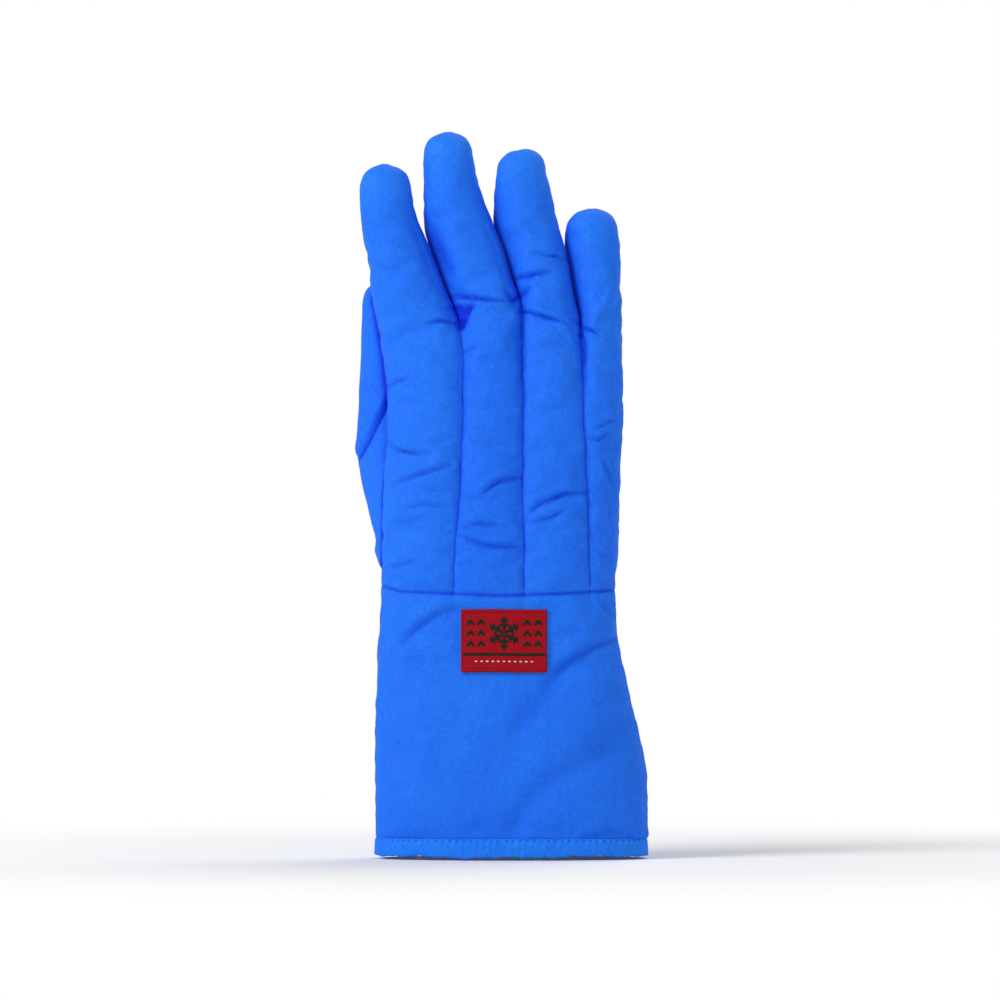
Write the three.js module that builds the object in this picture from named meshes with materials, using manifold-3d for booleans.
// Insulated cryogenic glove, right hand, mid-arm length, standing on its open gauntlet.
// Millimetres. +Z runs towards the fingertips, -Y is the back of the hand and +Y the palm.
// Left is -X, the thumb side. Right is +X, the little finger side.
// It is modelled about the hem's lower rim, and at the end moved so that the middle of its
// bounding box in plan is the origin, at floor level.
import * as THREE from "three";
import { mergeVertices } from "three/addons/utils/BufferGeometryUtils.js";
import Module from "manifold-3d";

const wasm = await Module();
wasm.setup();

// ---------------------------------------------------------------- driving dimensions
const WRIST_Z = 139.2; // seam between gauntlet and hand
const HEM_TOP = 9.2; // height of the folded hem
const GAP = 0.3; // clearance between neighbouring pieces
const SHELL_T = 1.2; // outer fabric with its laminated membrane
const PAD_T = 3; // insulation
const LINER_T = 0.9; // lining

// The three layers, as depths measured inwards from the outside
const PAD_IN = SHELL_T + GAP;
const PAD_OUT = PAD_IN + PAD_T;
const LINER_IN = PAD_OUT + GAP;
const LINER_OUT = LINER_IN + LINER_T;
const LAYERS = {
  shell: { from: 0, to: SHELL_T, material: "shell" },
  insulation: { from: PAD_IN, to: PAD_OUT, material: "pad" },
  lining: { from: LINER_IN, to: LINER_OUT, material: "liner" },
};

// Exponents of the superellipse sections
const CUFF_POWER = 2.35;
const HAND_POWER = 2.8;
const FINGER_POWER = 2.35;
const THUMB_POWER = 2.3;
const HAND_POWER_RISE = 30; // height above the wrist over which the hand reaches its exponent

const CORNER = 0.955; // where a section's side wall starts, as a share of its half width
const SIDE_SPLIT_Y = -6; // the back panels end and the palm panel starts at this depth

// Gauntlet: height, left edge, right edge, half depth
const CUFF = [
  [0, -71.2, 71.2, 32], [20, -71.4, 71.2, 31.5], [41, -71.7, 70.9, 30.6],
  [62, -71.7, 67.0, 29.2], [83, -71.2, 62.3, 27.6], [104, -70.6, 57.6, 26],
  [120, -69.4, 55.0, 24.8], [WRIST_Z, -68.6, 53.9, 24],
];
const CUFF_SIDES = 28;
const CUFF_TOP = WRIST_Z + 2; // the wrist's V is cut out of the part below this
const CUFF_LEVELS = [HEM_TOP + GAP, 40, 75, 105, CUFF_TOP];

// Hand: height, left edge, seam 1, seam 2, seam 3, right edge, back depth, palm depth,
// depth of the seam valleys on the back, depth of the valleys in the palm
const HAND = [
  [WRIST_Z, -68.6, -30.9, 6.3, 40.8, 53.9, 24.0, 24.0, 1.4, 0.0],
  [166, -68.0, -29.8, 6.6, 40.3, 55.8, 23.0, 24.0, 1.8, 0.0],
  [187, -67.6, -27.7, 5.3, 39.8, 56.0, 22.2, 24.5, 2.0, 0.2],
  [213, -66.0, -26.6, 5.6, 38.7, 57.4, 21.4, 24.0, 2.4, 0.4],
  [237, -65.4, -25.6, 5.8, 37.4, 58.1, 20.4, 22.0, 3.2, 1.0],
  [260, -67.4, -25.5, 5.6, 37.3, 58.0, 18.8, 19.0, 5.2, 3.5],
  [292, -72.5, -29.5, 5.2, 34.2, 57.2, 16.6, 15.6, 8.5, 7.5],
];
// Heights where the fingers start, at the left edge, the three seams and the right edge
const CROTCH = [272, 280.5, 289, 275, 279];

// Fingers. rows: height, left edge, right edge, centre depth, half depth.
// dome: height where the rounded tip starts, rise: the tip's own height, apex: its x.
// knuckle and middle: hinge centres, lean: degrees the finger tilts to the left.
const FINGERS = [
  {
    name: "index", dome: 349.6, rise: 13.9, apex: -66.3,
    knuckle: [-54.3, 1.2, 295], middle: [-60.6, 0.1, 325], lean: 12,
    rows: [
      [268, -69.0, -26.0, 0.2, 16.6], [280, -71.0, -27.2, 0.0, 16.2],
      [292, -73.3, -32.6, -0.6, 15.6], [300, -74.3, -36.3, -1.0, 15.2],
      [307.8, -74.8, -39.4, -1.4, 14.8], [315.6, -75.9, -42.1, -1.8, 14.5],
      [324.5, -78.0, -45.6, -2.2, 14.2], [337, -79.5, -50.2, -2.6, 13.8],
      [349.6, -80.0, -52.3, -3.0, 13.3],
    ],
  },
  {
    name: "middle", dome: 368.5, rise: 11.6, apex: -34.0,
    knuckle: [-18.2, 2.5, 302], middle: [-27.0, 2, 338], lean: 13,
    rows: [
      [276, -25.6, 5.4, 0.6, 16.4], [285, -28.0, 4.9, 0.6, 16.0],
      [292, -31.8, 3.4, 0.6, 15.7], [300, -35.4, 0.4, 0.5, 15.3],
      [309, -38.8, -2.2, 0.4, 15.0], [320, -43.0, -5.6, 0.2, 14.7],
      [332.5, -46.2, -10.2, 0, 14.4], [349.6, -46.8, -16.4, -0.4, 13.9],
      [368.5, -46.8, -20.6, -0.8, 12.8],
    ],
  },
  {
    name: "ring", dome: 359.2, rise: 12.6, apex: 7.0,
    knuckle: [15.2, 3.9, 303], middle: [8.6, 4.8, 335.5], lean: 8,
    rows: [
      [272, 5.4, 37.4, 1.2, 16.0], [285, 5.2, 35.2, 1.4, 15.7],
      [292, 3.8, 32.8, 1.6, 15.4], [300, 0.8, 31.2, 1.9, 15.1],
      [309, -1.8, 29.8, 2.2, 14.8], [320, -5.2, 27.4, 2.6, 14.5],
      [332.5, -9.6, 24.2, 2.8, 14.1], [345, -9.6, 21.7, 2.8, 13.8],
      [359.2, -8.4, 18.4, 2.6, 12.9],
    ],
  },
  {
    name: "little", dome: 327.7, rise: 12.0, apex: 42.0,
    knuckle: [44.8, 5.3, 289], middle: [43.0, 6.3, 311.5], lean: 4,
    rows: [
      [268, 37.4, 57.8, 2.0, 15.6], [276, 35.6, 57.8, 2.4, 15.2],
      [285, 34.0, 57.6, 3.0, 14.8], [292, 32.8, 57.3, 3.4, 14.5],
      [300, 31.4, 57.0, 3.8, 14.2], [309, 29.8, 57.0, 4.2, 13.9],
      [320, 28.0, 57.0, 4.4, 13.5], [327.7, 27.8, 56.0, 4.4, 13.1],
    ],
  },
];
const LAST = FINGERS.length - 1;
// Each finger stays this far inside the line it shares with its neighbour,
// from nothing at the start height to the full amount a rise above it
const FINGER_CLEAR = { amount: 0.9, start: 268, rise: 10 };
const MORPH = 20; // height over which a finger's section turns from the hand's shape to its own
const LEVELLING = 1.6; // how fast a finger's rows lose the slope of its base

// Thumb with its gusset: height, centre x, centre depth, half width, half depth
const THUMB = [
  [146, -57.5, 6, 9, 9], [156, -59, 9, 11, 11], [165, -60, 11, 12, 12.5],
  [180, -60.5, 15, 14.5, 15], [195, -62, 20.5, 16.4, 16.4], [205, -63.9, 25.4, 17, 16.8],
  [213, -65.2, 29.6, 17, 16.4], [224, -65.0, 35.2, 16.7, 15.8], [240, -64.6, 41.4, 16, 15],
  [260, -64.6, 44.6, 15.4, 14.4], [280, -65.0, 46.6, 14.6, 13.8], [289, -65.0, 47.4, 14.2, 13.2],
];
const THUMB_LEVELS = [150, 165, 180, 195, 207, 218, 232, 250, 270];
// Rounded tip: its rings stand at these angles up the dome, fullness below 1 rounds it out
const THUMB_TIP = { start: 289, rise: 11, apex: -65, angles: [25, 50, 72], fullness: 0.8 };

// Hinges, each a V open on both sides of its centre. plus and minus: degrees of bend towards
// +Y (palm) and -Y (back). A sideways hinge bends towards +X and -X, and leans to the palm.
const WRIST = { at: [-7.3, 0, WRIST_Z], lean: 0, plus: 20, minus: 15 };
const KNUCKLE = { plus: 45, minus: 8 };
const MIDDLE = { plus: 60, minus: 0 };
const THUMB_BASE = { at: [-65.1, 32, 219], lean: 12, plus: 25, minus: 35, sideways: true };
const THUMB_BEND = { at: [-64.6, 44.2, 258], lean: 6, plus: 45, minus: 0, sideways: true };

// Mesh density of the hand and fingers
const ACROSS = 4; // steps across a finger's back or palm
const WALL_STEPS = 2; // steps down a side wall
const HAND_ROWS = 6;
const FINGER_ROWS = 5;
const DOME_ROWS = 3;

const MATERIALS = {
  shell: { color: 0x2166e0, roughness: 0.62, metalness: 0 },
  pad: { color: 0xe9e6dc, roughness: 0.95, metalness: 0 },
  liner: { color: 0xd9dde2, roughness: 0.9, metalness: 0 },
  thread: { color: 0x1b4fb8, roughness: 0.6, metalness: 0 },
  label: { color: 0xa51226, roughness: 0.75, metalness: 0 },
  labelThread: { color: 0x6d0e1d, roughness: 0.7, metalness: 0 },
};

// ---------------------------------------------------------------- interpolation
const lerp = (a, b, t) => a + (b - a) * t;
const lerpPoint = (a, b, t) => a.map((value, axis) => lerp(value, b[axis], t));
const radians = (degrees) => (degrees * Math.PI) / 180;
function smooth(t) {
  const c = Math.min(1, Math.max(0, t));
  return c * c * (3 - 2 * c);
}

// Monotone cubic through one column of a table, on its first column; straight beyond its ends
function curve(rows, column) {
  const xs = rows.map((row) => row[0]);
  const ys = rows.map((row) => row[column]);
  const last = xs.length - 1;
  const steps = xs.slice(1).map((x, i) => x - xs[i]);
  const rises = steps.map((step, i) => (ys[i + 1] - ys[i]) / step);
  const slopes = xs.map((_, i) => {
    if (i === 0) return rises[0];
    if (i === last) return rises[last - 1];
    if (rises[i - 1] * rises[i] <= 0) return 0;
    const before = 2 * steps[i] + steps[i - 1];
    const after = steps[i] + 2 * steps[i - 1];
    return (before + after) / (before / rises[i - 1] + after / rises[i]);
  });
  return (x) => {
    if (x <= xs[0]) return ys[0] + slopes[0] * (x - xs[0]);
    if (x >= xs[last]) return ys[last] + slopes[last] * (x - xs[last]);
    let i = 0;
    while (x > xs[i + 1]) i++;
    const step = steps[i];
    const t = (x - xs[i]) / step;
    const t2 = t * t;
    const t3 = t2 * t;
    return (2 * t3 - 3 * t2 + 1) * ys[i] + (t3 - 2 * t2 + t) * step * slopes[i]
      + (3 * t2 - 2 * t3) * ys[i + 1] + (t3 - t2) * step * slopes[i + 1];
  };
}
// A function of height that gives all the other columns of a table
function tableAt(rows) {
  const curves = rows[0].slice(1).map((_, i) => curve(rows, i + 1));
  return (z) => curves.map((column) => column(z));
}

const cuffAt = tableAt(CUFF);
const handAt = tableAt(HAND);
const thumbAt = tableAt(THUMB);
for (const finger of FINGERS) finger.at = tableAt(finger.rows);

// ---------------------------------------------------------------- sections
// Height of a unit superellipse above its centre line
const bulge = (x, power) => Math.pow(Math.max(0, 1 - Math.pow(Math.abs(x), power)), 1 / power);

// A ring of points round a superellipse, from the left end over the back to the right end
// and round by the palm
function ellipseRing({ x, y, halfWidth, halfDepth, power, sides, z }) {
  const spread = (c) => Math.pow(Math.abs(c), 2 / power);
  return Array.from({ length: sides }, (_, i) => {
    const angle = (i / sides) * 2 * Math.PI;
    const c = -Math.cos(angle);
    const s = -Math.sin(angle);
    return [
      x + halfWidth * Math.sign(c) * spread(c),
      y + halfDepth * Math.sign(s) * spread(s),
      z,
    ];
  });
}

// A pillow between two seams, 0 at both and 1 between them. The outer half of the first and
// of the last strip stays at 1.
function pillow(t, strip) {
  let offset = Math.abs(2 * t - 1);
  if (strip === 0) offset = Math.max(0, 2 * t - 1);
  if (strip === LAST) offset = Math.max(0, 1 - 2 * t);
  return Math.pow(1 - Math.pow(offset, 2.4), 0.62);
}

function handSection(z) {
  const [left, seam1, seam2, seam3, right, ...depths] = handAt(z);
  const [backDepth, palmDepth, backValley, palmValley] = depths;
  const centre = (left + right) / 2;
  const half = (right - left) / 2;
  const power = lerp(CUFF_POWER, HAND_POWER, smooth((z - WRIST_Z) / HAND_POWER_RISE));
  const edges = [centre - CORNER * half, seam1, seam2, seam3, centre + CORNER * half];
  return { centre, half, power, edges, backDepth, palmDepth, backValley, palmValley };
}
// A point of the hand's back or palm, a share t across a strip; strips count from the left
function handPoint(z, strip, t, back) {
  const s = handSection(z);
  const x = lerp(s.edges[strip], s.edges[strip + 1], t);
  const valley = (back ? s.backValley : s.palmValley) * (1 - pillow(t, strip));
  const full = (back ? s.backDepth : s.palmDepth) * bulge((x - s.centre) / s.half, s.power);
  const depth = full - valley;
  return [x, back ? -depth : depth];
}
// A point of the hand's side wall: side -1 or 1, t 0 at the back corner to 1 at the palm corner
function handWall(z, side, t) {
  const { centre, half, power, backDepth, palmDepth } = handSection(z);
  const u = 2 * t - 1;
  const depth = u < 0 ? backDepth : palmDepth;
  const y = depth * bulge(CORNER, power) * u;
  return [centre + side * half * bulge(y / depth, power), y];
}

function fingerSection(finger, z) {
  const [left, right, centreY, halfDepth] = finger.at(z);
  const number = FINGERS.indexOf(finger);
  const clear = FINGER_CLEAR.amount * smooth((z - FINGER_CLEAR.start) / FINGER_CLEAR.rise);
  const x0 = left + (number > 0 ? clear : 0);
  const x1 = right - (number < LAST ? clear : 0);
  return { centreX: (x0 + x1) / 2, halfWidth: (x1 - x0) / 2, centreY, halfDepth };
}
// Points of a finger's unit section: on its back or palm, and on a side wall
function unitPanel(face, t) {
  const x = lerp(-CORNER, CORNER, t);
  return [x, (face === "back" ? -1 : 1) * bulge(x, FINGER_POWER)];
}
function unitWall(side, t) {
  const y = bulge(CORNER, FINGER_POWER) * (2 * t - 1);
  return [side * bulge(y, FINGER_POWER), y];
}

// The x of the line that finger k shares with the finger to its left
const sharedX = (k, z) => (FINGERS[k - 1].at(z)[1] + FINGERS[k].at(z)[0]) / 2;

// ---------------------------------------------------------------- surfaces
// A surface has verts, faces and rims: its open bottom ring and, if it has one, its open top ring.
const ringEdges = (ring) => ring.map((vertex, i) => [vertex, ring[(i + 1) % ring.length]]);
function ringFaces(lower, upper) {
  const above = ringEdges(upper);
  return ringEdges(lower).map(([a, b], i) => [a, b, above[i][1], above[i][0]]);
}
const poleFaces = (ring, pole) => ringEdges(ring).map(([a, b]) => [a, b, pole]);

// A tube through rings of equal length, open at the bottom, and at the top unless it has a pole
function tubeSurface(rings, pole) {
  const verts = rings.flat();
  const count = rings[0].length;
  const rows = rings.map((ring, r) => ring.map((_, i) => r * count + i));
  const faces = rows.slice(1).flatMap((row, r) => ringFaces(rows[r], row));
  const top = rows[rows.length - 1];
  if (!pole) return { verts, faces, rims: [rows[0], top] };
  verts.push(pole);
  faces.push(...poleFaces(top, verts.length - 1));
  return { verts, faces, rims: [rows[0]] };
}

// The places round a section: along the back to the right, down the right wall,
// along the palm to the left and up the left wall
function roundSection(steps, panel, wall) {
  const places = [];
  for (let i = 0; i <= steps; i++) places.push(panel("back", i));
  for (let i = 1; i < WALL_STEPS; i++) places.push(wall(1, i));
  for (let i = steps; i >= 0; i--) places.push(panel("palm", i));
  for (let i = WALL_STEPS - 1; i > 0; i--) places.push(wall(-1, i));
  return places;
}
const addVertex = (surface, point) => surface.verts.push(point) - 1;

// The hand's vertical lines of vertices, each with its name, its top and its point at a height
function handColumns() {
  const panel = (face, i) => {
    const strip = Math.min(Math.floor(i / ACROSS), LAST);
    const t = i / ACROSS - strip;
    return {
      name: `${face}${i}`,
      top: lerp(CROTCH[strip], CROTCH[strip + 1], smooth(t)),
      point: (z) => handPoint(z, strip, t, face === "back"),
    };
  };
  const wall = (side, i) => {
    const line = side < 0 ? 0 : LAST + 1;
    return {
      name: `side${line}_${i}`,
      top: CROTCH[line],
      point: (z) => handWall(z, side, i / WALL_STEPS),
    };
  };
  return roundSection(ACROSS * FINGERS.length, panel, wall);
}
// Adds the hand from wrist to crotches. Gives each row's vertices by column name.
function addHand(surface) {
  const columns = handColumns();
  const rows = [];
  for (let r = 0; r <= HAND_ROWS; r++) {
    const row = {};
    for (const column of columns) {
      const z = lerp(WRIST_Z, column.top, r / HAND_ROWS);
      row[column.name] = addVertex(surface, [...column.point(z), z]);
    }
    rows.push(row);
  }
  for (let r = 0; r < HAND_ROWS; r++)
    surface.faces.push(...ringFaces(Object.values(rows[r]), Object.values(rows[r + 1])));
  return rows;
}
// Adds the vertices from back to palm between finger k and the finger to its left
function addCrotch(surface, roots, k) {
  const back = surface.verts[roots[`back${k * ACROSS}`]];
  const palm = surface.verts[roots[`palm${k * ACROSS}`]];
  for (let i = 1; i < WALL_STEPS; i++)
    roots[`side${k}_${i}`] = addVertex(surface, lerpPoint(back, palm, i / WALL_STEPS));
}
// Adds finger k on top of its root vertices
function addFinger(surface, roots, k) {
  const finger = FINGERS[k];
  const ring = roundSection(
    ACROSS,
    (face, i) => ({ root: roots[`${face}${k * ACROSS + i}`], unit: unitPanel(face, i / ACROSS) }),
    (side, i) => ({
      root: roots[`side${side > 0 ? k + 1 : k}_${i}`],
      unit: unitWall(side, i / WALL_STEPS),
    }),
  );
  const mean = ring.reduce((sum, { root }) => sum + surface.verts[root][2], 0) / ring.length;
  let below = ring.map(({ root }) => root);
  const addRow = (pointOf) => {
    const row = ring.map((place) => addVertex(surface, pointOf(place)));
    surface.faces.push(...ringFaces(below, row));
    below = row;
  };
  for (let r = 1; r <= FINGER_ROWS; r++) {
    const share = r / FINGER_ROWS;
    const level = lerp(mean, finger.dome, share);
    addRow(({ root, unit }) => {
      const [baseX, baseY, baseZ] = surface.verts[root];
      const z = level + (baseZ - mean) * Math.max(0, 1 - share * LEVELLING);
      const own = fingerSection(finger, z);
      const base = fingerSection(finger, baseZ);
      const turn = smooth((z - baseZ) / MORPH);
      const fromX = ((baseX - base.centreX) / base.halfWidth) * own.halfWidth;
      const fromY = ((baseY - base.centreY) / base.halfDepth) * own.halfDepth;
      return [
        own.centreX + lerp(fromX, unit[0] * own.halfWidth, turn),
        own.centreY + lerp(fromY, unit[1] * own.halfDepth, turn),
        z,
      ];
    });
  }
  const { centreX, centreY, halfWidth, halfDepth } = fingerSection(finger, finger.dome);
  for (let r = 1; r <= DOME_ROWS; r++) {
    const angle = ((r / (DOME_ROWS + 1)) * Math.PI) / 2;
    const scale = Math.cos(angle);
    addRow(({ unit }) => [
      lerp(finger.apex, centreX, scale) + unit[0] * halfWidth * scale,
      centreY + unit[1] * halfDepth * scale,
      finger.dome + finger.rise * Math.sin(angle),
    ]);
  }
  const pole = addVertex(surface, [finger.apex, centreY, finger.dome + finger.rise]);
  surface.faces.push(...poleFaces(below, pole));
}
// Directions for the vertices between fingers, as [vertex, x, y, z]
function webNormals(roots) {
  const webs = [];
  for (let k = 1; k <= LAST; k++) {
    // slope of the shared line, taken from 2 to 22 above the crotch
    const lean = (sharedX(k, CROTCH[k] + 22) - sharedX(k, CROTCH[k] + 2)) / 20;
    webs.push([roots[`back${k * ACROSS}`], lean, -0.6, 1]);
    webs.push([roots[`palm${k * ACROSS}`], lean, 0.6, 1]);
    for (let i = 1; i < WALL_STEPS; i++) webs.push([roots[`side${k}_${i}`], lean, 0, 1]);
  }
  return webs;
}
// The outer surface of hand and fingers, open at the wrist
function gloveSurface() {
  const surface = { verts: [], faces: [] };
  const rows = addHand(surface);
  const roots = { ...rows[HAND_ROWS] };
  for (let k = 0; k <= LAST; k++) {
    if (k < LAST) addCrotch(surface, roots, k + 1);
    addFinger(surface, roots, k);
  }
  return { ...surface, rows, webs: webNormals(roots), rims: [Object.values(rows[0])] };
}

// The outer surface of the thumb with its gusset
function thumbRing(z) {
  const [x, y, halfWidth, halfDepth] = thumbAt(z);
  const sides = 2 * (ACROSS + WALL_STEPS);
  return ellipseRing({ x, y, halfWidth, halfDepth, power: THUMB_POWER, sides, z });
}
function thumbTipRing(degrees) {
  const { start, rise, apex, fullness } = THUMB_TIP;
  const [x, y, halfWidth, halfDepth] = thumbAt(start);
  const scale = Math.pow(Math.cos(radians(degrees)), fullness);
  return ellipseRing({
    x: lerp(apex, x, scale),
    y,
    halfWidth: halfWidth * scale,
    halfDepth: halfDepth * scale,
    power: THUMB_POWER,
    sides: 2 * (ACROSS + WALL_STEPS),
    z: start + rise * Math.sin(radians(degrees)),
  });
}
function thumbSurface() {
  const { start, rise, apex, angles } = THUMB_TIP;
  const rings = [...[...THUMB_LEVELS, start].map(thumbRing), ...angles.map(thumbTipRing)];
  return tubeSurface(rings, [apex, thumbAt(start)[1], start + rise]);
}

// ---------------------------------------------------------------- solids from surfaces
const toTriangles = (faces) =>
  faces.flatMap(([a, b, c, d]) => (d === undefined ? [[a, b, c]] : [[a, b, c], [a, c, d]]));

function solid(verts, triangles) {
  const made = new wasm.Manifold(new wasm.Mesh({
    numProp: 3,
    vertProperties: new Float32Array(verts.flat()),
    triVerts: new Uint32Array(triangles.flat()),
  }));
  if (made.volume() < 0) throw new Error("a surface faces inwards");
  return made;
}

// Area-weighted vertex normals, pointing out, kept level at the open rims
function outwardNormals(surface) {
  const result = surface.verts.map(() => new THREE.Vector3());
  const points = surface.verts.map((p) => new THREE.Vector3(...p));
  for (const [a, b, c] of toTriangles(surface.faces)) {
    const edge = points[c].clone().sub(points[a]);
    const normal = points[b].clone().sub(points[a]).cross(edge);
    for (const i of [a, b, c]) result[i].add(normal);
  }
  for (const i of surface.rims.flat()) result[i].z = 0;
  for (const normal of result) normal.normalize();
  // where two fingers meet, the surface faces along the fingers, so the layers stay apart
  for (const [i, x, y, z] of surface.webs ?? []) result[i].set(x, y, z).normalize();
  return result;
}
// The surface's vertices moved inwards by a depth
function inset(surface, depth) {
  surface.normals ??= outwardNormals(surface);
  return surface.verts.map(([x, y, z], i) => {
    const normal = surface.normals[i];
    return [x - normal.x * depth, y - normal.y * depth, z - normal.z * depth];
  });
}
// Edges of a rim, in the direction that faces its cap or strip out of the solid
const rimEdges = (ring, end) => ringEdges(ring).map(([a, b]) => (end === 0 ? [b, a] : [a, b]));

// The solid between two inward offsets of a surface
function layer(surface, from, to) {
  const outer = inset(surface, from);
  const shift = outer.length;
  const triangles = toTriangles(surface.faces);
  const inner = triangles.map(([a, b, c]) => [a + shift, c + shift, b + shift]);
  const strips = surface.rims.flatMap((ring, end) =>
    rimEdges(ring, end).map(([a, b]) => [a, b, b + shift, a + shift]));
  const all = [...triangles, ...inner, ...toTriangles(strips)];
  return solid([...outer, ...inset(surface, to)], all);
}
// The whole volume inside an inward offset of a surface
function filled(surface, depth) {
  const verts = inset(surface, depth);
  const triangles = toTriangles(surface.faces);
  surface.rims.forEach((ring, end) => {
    const mean = (axis) => ring.reduce((sum, i) => sum + verts[i][axis], 0) / ring.length;
    const centre = verts.push([0, 1, 2].map(mean)) - 1;
    triangles.push(...rimEdges(ring, end).map(([a, b]) => [a, b, centre]));
  });
  return solid(verts, triangles);
}

// A three.js geometry as a manifold solid
function solidOf(geometry) {
  const bare = geometry.clone();
  for (const attribute of ["normal", "uv"]) bare.deleteAttribute(attribute);
  const merged = mergeVertices(bare, 1e-4);
  return new wasm.Manifold(new wasm.Mesh({
    numProp: 3,
    vertProperties: merged.attributes.position.array,
    triVerts: new Uint32Array(merged.index.array),
  }));
}

// ---------------------------------------------------------------- cutting tools
const REACH = 200; // half width of a tool that is wider than the glove
const TOOL_DEPTH = 90; // half depth of a tool that is deeper than the hand
const WEDGE = { reach: 90, height: 400, thickness: 160 };
const PANEL_ZONE = { z0: 120, z1: 345, halfDepth: TOOL_DEPTH, gap: 0.45 };
const FINGER_ZONE = { z0: 262, z1: 400 };
const ZONE_OVERLAP = 0.5; // how far the hand's own zone reaches into the finger zones

function extrude(points, depth) {
  const shape = new THREE.Shape(points.map(([u, v]) => new THREE.Vector2(u, v)));
  return new THREE.ExtrudeGeometry(shape, { depth, bevelEnabled: false });
}
// A prism from a polygon in the XZ plane, between two depths
function prismXZ(points, y0, y1) {
  const geometry = extrude(points, y1 - y0);
  geometry.rotateX(Math.PI / 2); // the extrusion now runs along -Y
  geometry.translate(0, y1, 0);
  return solidOf(geometry);
}
const slab = (z0, z1, y0, y1) =>
  prismXZ([[-REACH, z0], [REACH, z0], [REACH, z1], [-REACH, z1]], y0, y1);

// Everything above (direction 1) or below (direction -1) a hinge's V. Each side of the hinge
// gives half of the bend.
function wedge(hinge, direction) {
  const { reach, height, thickness } = WEDGE;
  const plus = GAP + reach * Math.tan(radians(hinge.plus / 2));
  const minus = GAP + reach * Math.tan(radians(hinge.minus / 2));
  const [first, second] = direction > 0 ? [plus, minus] : [minus, plus];
  const outline = [[0, GAP], [reach, first], [reach, height], [-reach, height], [-reach, second]];
  const geometry = extrude(outline.map(([u, v]) => [direction * u, direction * v]), thickness);
  geometry.translate(0, 0, -thickness / 2);
  // u runs to the plus side, v along the finger, the extrusion along the hinge
  const sin = Math.sin(radians(hinge.lean));
  const cos = Math.cos(radians(hinge.lean));
  const u = hinge.sideways ? new THREE.Vector3(1, 0, 0) : new THREE.Vector3(0, 1, 0);
  const v = hinge.sideways ? new THREE.Vector3(0, sin, cos) : new THREE.Vector3(-sin, 0, cos);
  const axis = new THREE.Vector3().crossVectors(u, v);
  const placing = new THREE.Matrix4().makeBasis(u, v, axis).setPosition(...hinge.at);
  return solidOf(geometry.applyMatrix4(placing));
}
const above = (hinge) => wedge(hinge, 1);
const below = (hinge) => wedge(hinge, -1);

// The hand's seam k, and above it the line between two fingers, as [x, z] from z0 to z1
function seamLine(k, z0, z1) {
  const step = 12;
  const straightFrom = 345; // the line keeps its x above this height
  const rows = [];
  for (let r = 0; r <= HAND_ROWS; r++) {
    const z = lerp(WRIST_Z, CROTCH[k], r / HAND_ROWS);
    rows.push([handAt(z)[k], z]);
  }
  for (let z = CROTCH[k] + step; z < 420; z += step)
    rows.push([sharedX(k, Math.min(z, straightFrom)), z]);
  const at = (z) => {
    let i = 1;
    while (i < rows.length - 1 && rows[i][1] < z) i++;
    const [from, to] = [rows[i - 1], rows[i]];
    return [lerp(from[0], to[0], (z - from[1]) / (to[1] - from[1])), z];
  };
  const between = rows.filter(([, z]) => z > z0 + 0.5 && z < z1 - 0.5);
  return [at(z0), ...between, at(z1)];
}
// The space round strip k and its finger, kept back from the shared lines by a gap
function stripPrism(k, { z0, z1, halfDepth, gap }) {
  const side = (line, sign) => {
    if (line === 0 || line > LAST) return [[-sign * REACH, z0], [-sign * REACH, z1]];
    return seamLine(line, z0, z1).map(([x, z]) => [x + sign * gap, z]);
  };
  return prismXZ([...side(k, 1), ...side(k + 1, -1).reverse()], -halfDepth, halfDepth);
}

// ---------------------------------------------------------------- groups and meshes
const glove = new THREE.Group();
const groups = {};
// A group whose origin is its hinge, given in the glove's frame
function group(name, parent, at) {
  const made = new THREE.Group();
  const origin = parent ? groups[parent].userData.at : [0, 0, 0];
  made.position.set(at[0] - origin[0], at[1] - origin[1], at[2] - origin[2]);
  made.userData.at = at;
  (parent ? groups[parent] : glove).add(made);
  groups[name] = made;
}

const GRID = 0.01;
const SIMPLIFY = 0.1; // tolerance for merging small triangles
const snap = (value) => Math.round(value / GRID) * GRID;
const largest = (made) => made.decompose().sort((a, b) => b.volume() - a.volume())[0];

// A manifold mesh as a geometry, with each coordinate passed through adjust(value, axis)
function geometryOf(mesh, adjust) {
  const { numVert, numProp, vertProperties, triVerts } = mesh;
  const positions = new Float32Array(numVert * 3);
  for (let i = 0; i < numVert; i++)
    for (let axis = 0; axis < 3; axis++)
      positions[i * 3 + axis] = adjust(vertProperties[i * numProp + axis], axis);
  return new THREE.BufferGeometry()
    .setAttribute("position", new THREE.BufferAttribute(positions, 3))
    .setIndex(new THREE.BufferAttribute(triVerts, 1));
}
// Adds a piece to a group. Its corners are kept on a fine grid, and scraps a cut left are dropped.
function put(name, groupName, material, made) {
  const snapped = geometryOf(largest(made).simplify(SIMPLIFY).getMesh(), snap);
  const { at } = groups[groupName].userData;
  const clean = largest(solidOf(snapped)).getMesh();
  const geometry = geometryOf(clean, (value, axis) => value - at[axis]);
  geometry.computeVertexNormals();
  const mesh = new THREE.Mesh(geometry, new THREE.MeshStandardMaterial(MATERIALS[material]));
  mesh.name = name;
  groups[groupName].add(mesh);
}

function addGroups() {
  group("gauntlet", null, [0, 0, 0]);
  group("hand", "gauntlet", WRIST.at);
  for (const { name, knuckle, middle } of FINGERS) {
    group(name, "hand", knuckle);
    group(`${name}_tip`, name, middle);
  }
  group("thumb", "hand", THUMB_BASE.at);
  group("thumb_tip", "thumb", THUMB_BEND.at);
}

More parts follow.
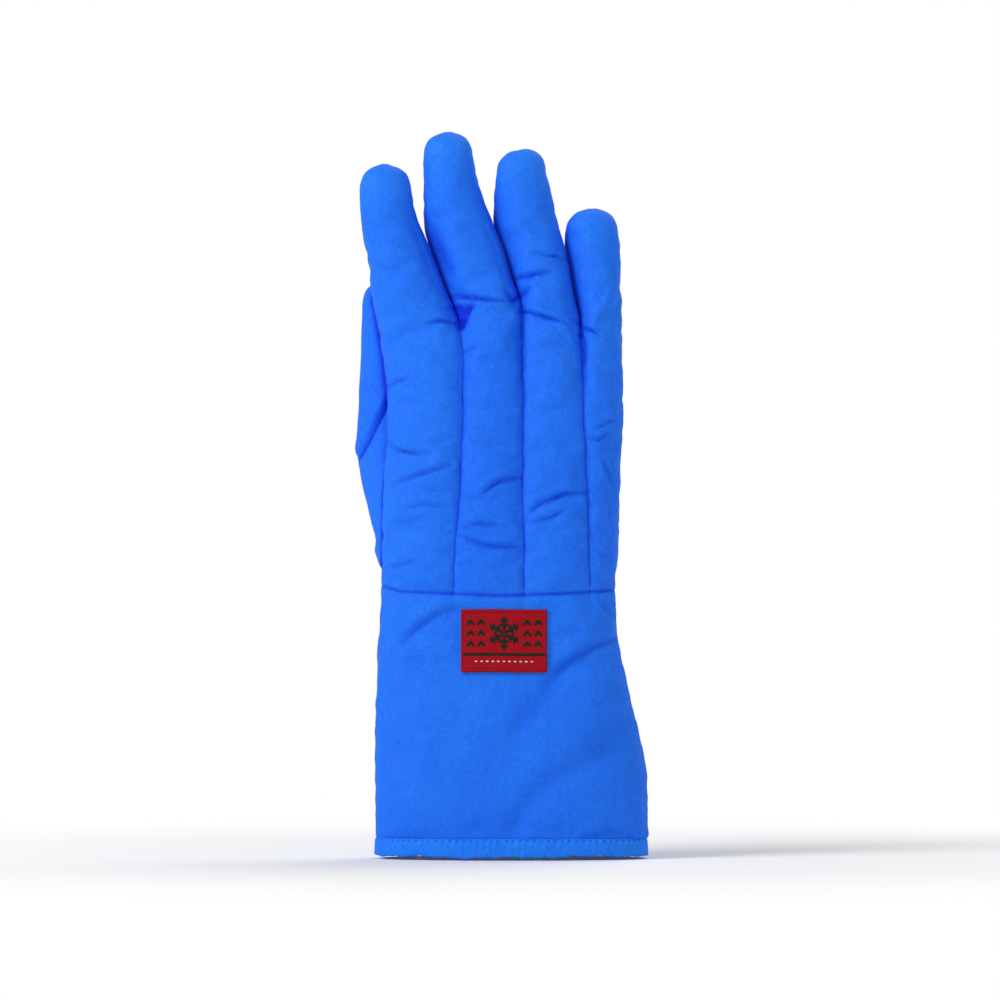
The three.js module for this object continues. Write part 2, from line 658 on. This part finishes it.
// ---------------------------------------------------------------- gauntlet
// A ring of the gauntlet's outside, moved outwards by an amount
function cuffRing(z, out = 0) {
  const [left, right, depth] = cuffAt(z);
  const x0 = left - out;
  const x1 = right + out;
  return ellipseRing({
    x: (x0 + x1) / 2, y: 0, halfWidth: (x1 - x0) / 2, halfDepth: depth + out,
    power: CUFF_POWER, sides: CUFF_SIDES, z,
  });
}

// The hem's stitch line lies in a shallow groove. out: where groove cutter and thread start
// outside the hem, thick: their size inwards from there.
const HEM_STITCH_Z = HEM_TOP - 1;
const HEM_GROOVE = { halfHeight: 0.6, out: 2, thick: 2 + 0.55 };
const HEM_THREAD = { halfHeight: 0.3, out: 0.15, thick: 0.4 };

function hemRing({ halfHeight, out, thick }) {
  const levels = [HEM_STITCH_Z - halfHeight, HEM_STITCH_Z + halfHeight];
  return layer(tubeSurface(levels.map((z) => cuffRing(z, out))), 0, thick);
}
function addHem() {
  const band = layer(tubeSurface([cuffRing(0), cuffRing(HEM_TOP)]), 0, LINER_OUT);
  put("hem_band", "gauntlet", "shell", band.subtract(hemRing(HEM_GROOVE)));
  put("hem_stitching", "gauntlet", "thread", hemRing(HEM_THREAD));
}
function addGauntletLayers() {
  const surface = tubeSurface(CUFF_LEVELS.map((z) => cuffRing(z)));
  const cut = below(WRIST);
  for (const [name, { from, to, material }] of Object.entries(LAYERS))
    put(`gauntlet_${name}`, "gauntlet", material, layer(surface, from, to).intersect(cut));
}

// Label on the back of the gauntlet, following its curve, and the loop of thread on it.
// inset: distance in from the label's edge, lift: distance out from the gauntlet.
const LABEL = { x0: -26.7, x1: 18.3, z0: 97.4, z1: 130.3, columns: 8, rows: 2 };
const LABEL_BODY = { inset: 0, lift: 0.35, thick: 0.7 };
const LABEL_THREAD = { inset: 1.4, lift: 1.35, thick: 0.4 };
const LABEL_THREAD_HOLE = { inset: 2, lift: 0.6, thick: 2 };

function cuffBackY(x, z) {
  const [left, right, halfDepth] = cuffAt(z);
  return -halfDepth * bulge((x - (left + right) / 2) / ((right - left) / 2), CUFF_POWER);
}
function labelPatch({ inset: edge, lift, thick }) {
  const { columns, rows } = LABEL;
  const verts = [];
  for (const out of [0, thick])
    for (let j = 0; j <= rows; j++)
      for (let i = 0; i <= columns; i++) {
        const x = lerp(LABEL.x0 + edge, LABEL.x1 - edge, i / columns);
        const z = lerp(LABEL.z0 + edge, LABEL.z1 - edge, j / rows);
        verts.push([x, cuffBackY(x, z) - lift - out, z]);
      }
  const at = (i, j, side) => (side * (rows + 1) + j) * (columns + 1) + i;
  const faces = [];
  for (let j = 0; j < rows; j++)
    for (let i = 0; i < columns; i++) {
      const cell = (side) =>
        [at(i, j, side), at(i + 1, j, side), at(i + 1, j + 1, side), at(i, j + 1, side)];
      const [a, b, c, d] = cell(0);
      faces.push(cell(1), [a, d, c, b]);
    }
  const edgeFace = (i0, j0, i1, j1) =>
    faces.push([at(i0, j0, 0), at(i1, j1, 0), at(i1, j1, 1), at(i0, j0, 1)]);
  for (let i = 0; i < columns; i++) {
    edgeFace(i, 0, i + 1, 0);
    edgeFace(i + 1, rows, i, rows);
  }
  for (let j = 0; j < rows; j++) {
    edgeFace(columns, j, columns, j + 1);
    edgeFace(0, j + 1, 0, j);
  }
  return solid(verts, toTriangles(faces));
}
function addLabel() {
  put("woven_label", "gauntlet", "label", labelPatch(LABEL_BODY));
  const loop = labelPatch(LABEL_THREAD).subtract(labelPatch(LABEL_THREAD_HOLE));
  put("label_stitching", "gauntlet", "labelThread", loop);
}

// ---------------------------------------------------------------- hand, fingers and thumb
// The spaces of a finger: what its V leaves to the hand, its middle part and its tip
function fingerCuts({ knuckle, middle, lean }, k) {
  const root = { at: knuckle, lean, ...KNUCKLE };
  const bend = { at: middle, lean, ...MIDDLE };
  const zone = stripPrism(k, { ...FINGER_ZONE, halfDepth: 80, gap: 0 });
  return {
    root: below(root),
    mid: above(root).intersect(below(bend)).intersect(zone),
    tip: above(bend).intersect(zone),
  };
}
// The hand keeps what lies above the wrist's V and below every finger's V
function handSpace(cuts) {
  let space = slab(100, FINGER_ZONE.z0 + ZONE_OVERLAP, -TOOL_DEPTH, TOOL_DEPTH);
  cuts.forEach(({ root }, k) => {
    // the strips overlap, and differ in depth so that no two of their faces coincide
    const strip = stripPrism(k, { ...FINGER_ZONE, halfDepth: 85 + k, gap: -0.4 });
    space = space.add(strip.intersect(root));
  });
  return space.intersect(above(WRIST));
}

// The hand's shell: a back panel for each finger's strip, and one palm panel
function addHandPanels(hand) {
  const backs = slab(100, PANEL_ZONE.z1, -TOOL_DEPTH, SIDE_SPLIT_Y - GAP / 2);
  const palm = slab(100, PANEL_ZONE.z1, SIDE_SPLIT_Y + GAP / 2, TOOL_DEPTH);
  FINGERS.forEach(({ name }, k) => {
    const panel = hand.intersect(backs).intersect(stripPrism(k, PANEL_ZONE));
    put(`${name}_back_panel`, "hand", "shell", panel);
  });
  put("palm_panel", "hand", "shell", hand.intersect(palm));
}

function addHandLayers(handSurface) {
  const thumbOutside = thumbSurface();
  const handVolume = filled(handSurface, -GAP); // the hand's outside, with play
  const thumbVolume = filled(thumbOutside, -GAP);
  const cuts = FINGERS.map(fingerCuts);
  const space = handSpace(cuts);
  const thumbCuts = {
    root: below(THUMB_BASE),
    mid: above(THUMB_BASE).intersect(below(THUMB_BEND)),
    tip: above(THUMB_BEND),
  };
  for (const [name, { from, to, material }] of Object.entries(LAYERS)) {
    const whole = layer(handSurface, from, to);
    const hand = whole.intersect(space).subtract(thumbVolume);
    if (name === "shell") addHandPanels(hand);
    else put(`hand_${name}`, "hand", material, hand);
    FINGERS.forEach(({ name: finger }, k) => {
      put(`${finger}_${name}`, finger, material, whole.intersect(cuts[k].mid));
      put(`${finger}_tip_${name}`, `${finger}_tip`, material, whole.intersect(cuts[k].tip));
    });
    const thumb = layer(thumbOutside, from, to).subtract(handVolume);
    const gusset = name === "shell" ? "thumb_gusset" : `thumb_gusset_${name}`;
    put(gusset, "hand", material, thumb.intersect(thumbCuts.root));
    put(`thumb_${name}`, "thumb", material, thumb.intersect(thumbCuts.mid));
    put(`thumb_tip_${name}`, "thumb_tip", material, thumb.intersect(thumbCuts.tip));
  }
}

// The threads that join the back panels, each lying in the gap between two of them.
// rows: where their rings stand, in rows of the hand's mesh; y0 and y1: depth below the surface.
const SEAM_THREAD = { rows: [0.45, 1, 2, 3, 4, 5], halfWidth: 0.14, y0: 0.15, y1: 0.75 };

function addSeamThreads({ verts, rows }) {
  const { halfWidth, y0, y1 } = SEAM_THREAD;
  for (let k = 1; k <= LAST; k++) {
    const column = `back${k * ACROSS}`;
    const rings = SEAM_THREAD.rows.map((row) => {
      const r = Math.floor(row);
      const [from, to] = [verts[rows[r][column]], verts[rows[r + 1][column]]];
      const [x, y, z] = lerpPoint(from, to, row - r);
      return [
        [x - halfWidth, y + y0, z], [x + halfWidth, y + y0, z],
        [x + halfWidth, y + y1, z], [x - halfWidth, y + y1, z],
      ];
    });
    const name = `${FINGERS[k - 1].name}_${FINGERS[k].name}_seam`;
    put(name, "hand", "thread", filled(tubeSurface(rings), 0));
  }
}

// ---------------------------------------------------------------- assembly
addGroups();
addHem();
addGauntletLayers();
addLabel();
const handSurface = gloveSurface();
addHandLayers(handSurface);
addSeamThreads(handSurface);

// the middle of the bounding box in plan, at floor level, becomes the origin
glove.updateMatrixWorld(true);
const { min, max } = new THREE.Box3().setFromObject(glove);
glove.position.set(-snap((min.x + max.x) / 2), -snap((min.y + max.y) / 2), -snap(min.z));

export default glove;
